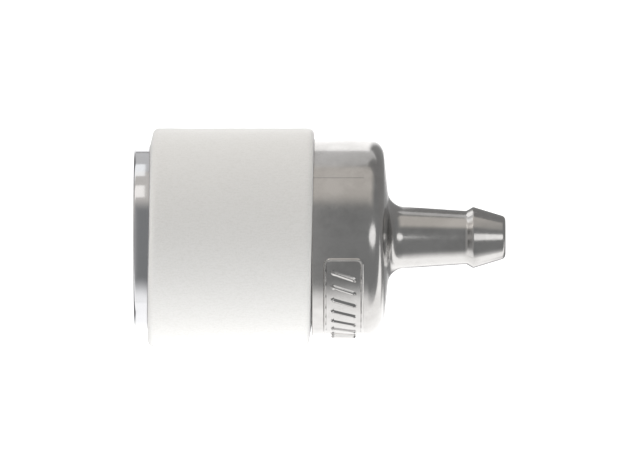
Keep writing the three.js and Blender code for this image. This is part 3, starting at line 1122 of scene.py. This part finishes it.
def studio(stage):
    """A room lit round the X axis: a warm far wall, a dark ceiling and a bright near wall."""
    world = bpy.data.worlds.new("studio")
    world.use_nodes = True
    tree = world.node_tree
    tree.nodes.clear()
    way = tree.nodes.new("ShaderNodeTexCoord").outputs["Generated"]
    place = add_node(tree, "ShaderNodeSeparateXYZ", {"Vector": way}).outputs
    turn = calculated(tree, "ARCTAN2", place["Y"], place["Z"])
    near_half = between(tree, place["Y"], *NEAR_HALF, 1, 0)
    more = calculated(tree, "MULTIPLY", between(tree, place["X"], *TURN_FADE, 0, TURN), near_half)
    turn = calculated(tree, "ADD", turn, more)
    share = between(tree, turn, -math.pi / 2, math.pi / 2, 0, 1)
    near = grey(stage.near_glow)
    dark = tuple(channel * stage.dark_glow for channel in DARK_TINT)
    far = tuple(channel * stage.far_glow for channel in FAR_TINT)
    stops = ((0.03, near), (0.23, dark), (0.68, dark), (0.79, far), (1.0, far))
    around = ramped(tree, share, "EASE", stops)
    left = grey(stage.left_glow)
    haze = grey(HAZE_SHARE * stage.far_glow)
    stops = ((0.0, left), (0.2, left), (0.35, haze), (0.88, haze), (0.97, grey(0)))
    along = ramped(tree, between(tree, place["X"], -1, 0, 0, 1), "EASE", stops)
    lit = blended(tree, 1.0, around, along, "LIGHTEN")
    light = blended(tree, between(tree, place["X"], *RIGHT_FADE, 0, 1), lit, dark)
    felt = add_node(tree, "ShaderNodeBackground", {"Color": light, "Strength": 1.0})
    seen = add_node(tree, "ShaderNodeBackground", {"Color": (1, 1, 1, 1), "Strength": SEEN_GLOW})
    mixed = by_ray(tree, seen.outputs["Background"], felt.outputs["Background"])
    add_node(tree, "ShaderNodeOutputWorld", {"Surface": mixed})
    return world


class FUELFILTER_OT_stage(bpy.types.Operator):
    """Build the pale floor, the room, the soft lamps and the camera."""

    bl_idname = "fuel_filter.stage"
    bl_label = "Stage"

    def execute(self, context):
        stage = context.scene.fuel_filter.stage
        bm = bmesh.new()
        half = stage.floor_size / 2
        bmesh.ops.create_grid(bm, x_segments=FLOOR_CELLS, y_segments=FLOOR_CELLS, size=half)
        mesh = bpy.data.meshes.new("floor")
        bm.to_mesh(mesh)
        bm.free()
        mesh.materials.append(pale_floor(stage))
        floor = bpy.data.objects.new("floor", mesh)
        context.scene.collection.objects.link(floor)

        middle = (0, 0, AXIS_Z)
        key = (math.sin(KEY_TILT), KEY_LEAN, math.cos(KEY_TILT))
        glow = stage.key_glow
        softbox(context, "key_softbox", middle, key, FAR_LAMP, KEY_SIZE, glow, shape="ELLIPSE")
        fills = (
            ("left_fill", (-0.66, -0.68, 0.3), stage.side_glow),
            ("right_fill", (0.66, -0.68, 0.3), stage.side_glow),
            ("near_fill", (0, -1, 0.05), stage.near_fill_glow),
            ("far_fill", (0, 1, 0.2), stage.far_fill_glow),
        )
        for name, way, glow in fills:
            fill = softbox(context, name, middle, way, FAR_LAMP, FILL_SIZE, glow)
            fill.visible_glossy = False
        rim_strip(context, "upper_strip", degrees=30, width=0.016, glow=0.75, tint=(1, 0.98, 0.96))
        rim_strip(context, "lower_strip", degrees=47, width=0.02, glow=0.75, tint=(0.95, 0.98, 1))

        context.scene.world = studio(stage)
        context.scene.view_settings.view_transform = "Standard"

        camera = bpy.data.cameras.new("camera")
        camera.lens = stage.lens
        camera.sensor_width = stage.view_width / stage.camera_distance * stage.lens
        camera.clip_start = CLIP_START
        holder = bpy.data.objects.new("camera", camera)
        holder.location = (-stage.offset_x, stage.offset_y, AXIS_Z + stage.camera_distance)
        context.scene.collection.objects.link(holder)
        context.scene.camera = holder
        return {"FINISHED"}


class FUELFILTER_PT_panel(bpy.types.Panel):
    """The filter's pieces and sizes in the sidebar."""

    bl_idname = "FUELFILTER_PT_panel"
    bl_label = "Fuel Filter"
    bl_space_type = "VIEW_3D"
    bl_region_type = "UI"
    bl_category = "Fuel Filter"

    def draw(self, context):
        layout = self.layout
        settings = context.scene.fuel_filter
        for operator in OPERATORS:
            layout.operator(operator.bl_idname)
        groups = {
            "Head": settings.head,
            "Panel": settings.panel,
            "Sleeve": settings.sleeve,
            "Cap": settings.cap,
            "Seals": settings.seals,
            "Core": settings.core,
            "Stage": settings.stage,
        }
        for label, group in groups.items():
            box = layout.box()
            box.label(text=label)
            for name in group.bl_rna.properties.keys():
                if name not in {"rna_type", "name"}:
                    box.prop(group, name)


OPERATORS = (
    FUELFILTER_OT_outlet_head,
    FUELFILTER_OT_sleeve,
    FUELFILTER_OT_end_cap,
    FUELFILTER_OT_rivet,
    FUELFILTER_OT_seals,
    FUELFILTER_OT_core,
    FUELFILTER_OT_stage,
)
CLASSES = (
    FUELFILTER_PG_head,
    FUELFILTER_PG_panel,
    FUELFILTER_PG_sleeve,
    FUELFILTER_PG_cap,
    FUELFILTER_PG_seals,
    FUELFILTER_PG_core,
    FUELFILTER_PG_stage,
    FUELFILTER_PG_settings,
    *OPERATORS,
    FUELFILTER_PT_panel,
)


def register():
    """Registers the classes and gives the scene its settings."""
    for cls in CLASSES:
        bpy.utils.register_class(cls)
    bpy.types.Scene.fuel_filter = bpy.props.PointerProperty(type=FUELFILTER_PG_settings)


def unregister():
    """Takes the settings and the classes away again."""
    del bpy.types.Scene.fuel_filter
    for cls in reversed(CLASSES):
        bpy.utils.unregister_class(cls)


def main():
    register()
    bpy.ops.fuel_filter.outlet_head()
    bpy.ops.fuel_filter.sleeve()
    bpy.ops.fuel_filter.end_cap()
    bpy.ops.fuel_filter.rivet()
    bpy.ops.fuel_filter.seals()
    bpy.ops.fuel_filter.core()
    bpy.ops.fuel_filter.stage()


if __name__ == "__main__":
    main()
